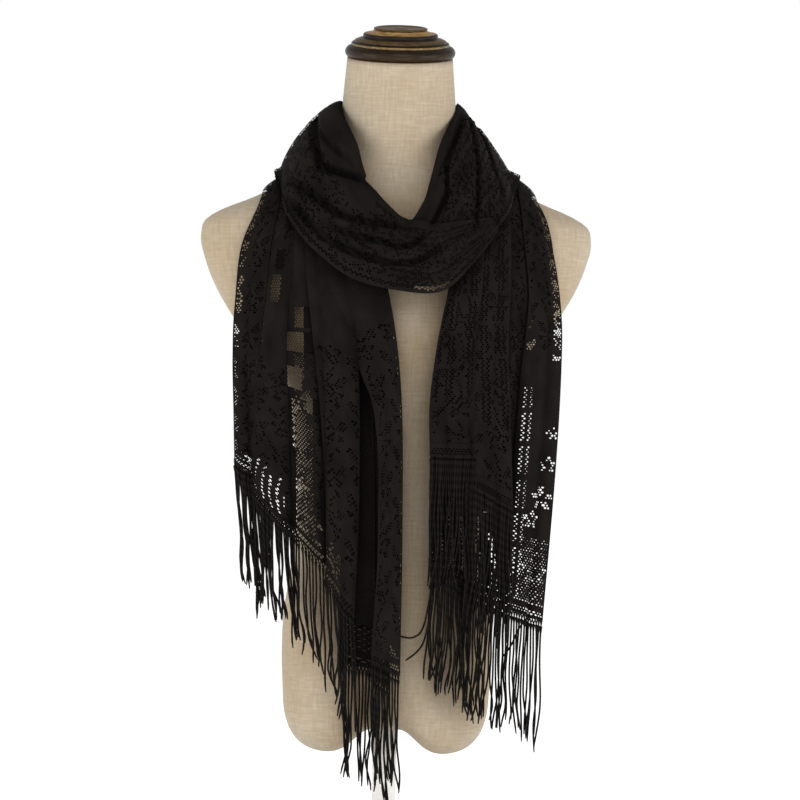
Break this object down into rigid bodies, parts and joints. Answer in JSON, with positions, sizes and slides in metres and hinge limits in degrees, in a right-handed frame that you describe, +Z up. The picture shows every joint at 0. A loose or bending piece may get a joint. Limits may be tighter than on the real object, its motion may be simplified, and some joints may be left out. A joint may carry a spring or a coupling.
{
  "type": "lace shawl on a dress form",
  "caption": "Fringed black lace shawl wound once round a limbless linen dress form with a turned wooden neck cap, on a pole and a round base.",
  "frame": {"origin": "middle of the stand's underside, at the bottom centre of the whole part", "axes": "+Z up, -Y the way the dress form faces, +X to the right of a person who looks at its front"},
  "size_m": [0.394, 0.28, 0.8253],
  "materials": {
    "steel": "satin",
    "linen": "fine linen weave, stretched smooth",
    "wood": "dark antique varnish, gloss, with worn golden grooves",
    "lace": "fine knitted lace, matt with a slight sheen"
  },
  "bodies": {
    "root": {"stand_base": "steel", "stand_pole": "steel", "form_body": "linen", "neck_cap": "wood", "tail_left": "lace", "tail_right": "lace", "fold_right": "lace", "loop_front": "lace", "loop_back": "lace", "fringe_left": "lace", "fringe_right": "lace", "fringe_fold": "lace"}
  },
  "joints": []
}
